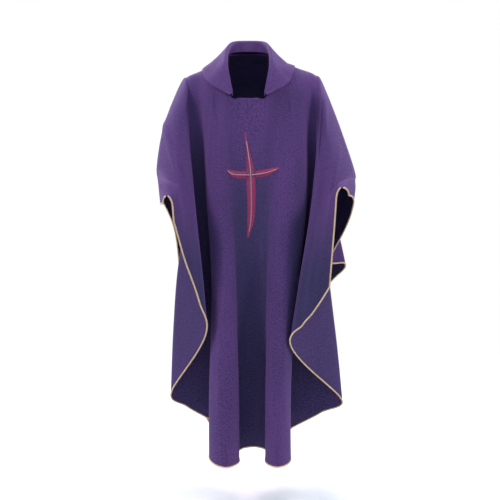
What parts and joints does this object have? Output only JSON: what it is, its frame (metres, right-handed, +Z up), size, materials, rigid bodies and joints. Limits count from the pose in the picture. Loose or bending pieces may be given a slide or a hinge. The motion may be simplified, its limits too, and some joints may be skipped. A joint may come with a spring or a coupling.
{
  "type": "chasuble",
  "caption": "Wide draped liturgical overgarment with a roll collar, squared neckline, piped edges and a long embroidered cross on the chest.",
  "frame": {"origin": "between the wearer's shoulders, at the height where the cloth rests on them", "axes": "+Z up, -Y the garment's front, +X the wearer's left"},
  "size_m": [0.6538, 0.4501, 1.3952],
  "materials": {
    "cloth": "matt purple worsted or polyester vestment cloth, self-lined",
    "facing": "matt purple facing cloth",
    "interfacing": "matt off-white non-woven stabiliser",
    "gold_piping": "twisted gold and cream braid",
    "crimson_stitching": "glossy satin-stitch thread",
    "silver_cord": "metallic silver-grey couched cord"
  },
  "bodies": {
    "root": {"front_panel": "cloth", "back_panel": "cloth", "front_edge_piping": "gold_piping", "back_edge_piping": "gold_piping", "upper_collar": "cloth", "under_collar": "cloth", "collar_interfacing": "interfacing", "front_neck_facing": "facing", "back_neck_facing": "facing", "right_shoulder_tape": "facing", "left_shoulder_tape": "facing", "cross_upright": "crimson_stitching", "cross_right_arm": "crimson_stitching", "cross_left_arm": "crimson_stitching", "upright_cord": "silver_cord", "right_arm_cord": "silver_cord", "left_arm_cord": "silver_cord", "cross_stabiliser": "interfacing"}
  },
  "joints": []
}
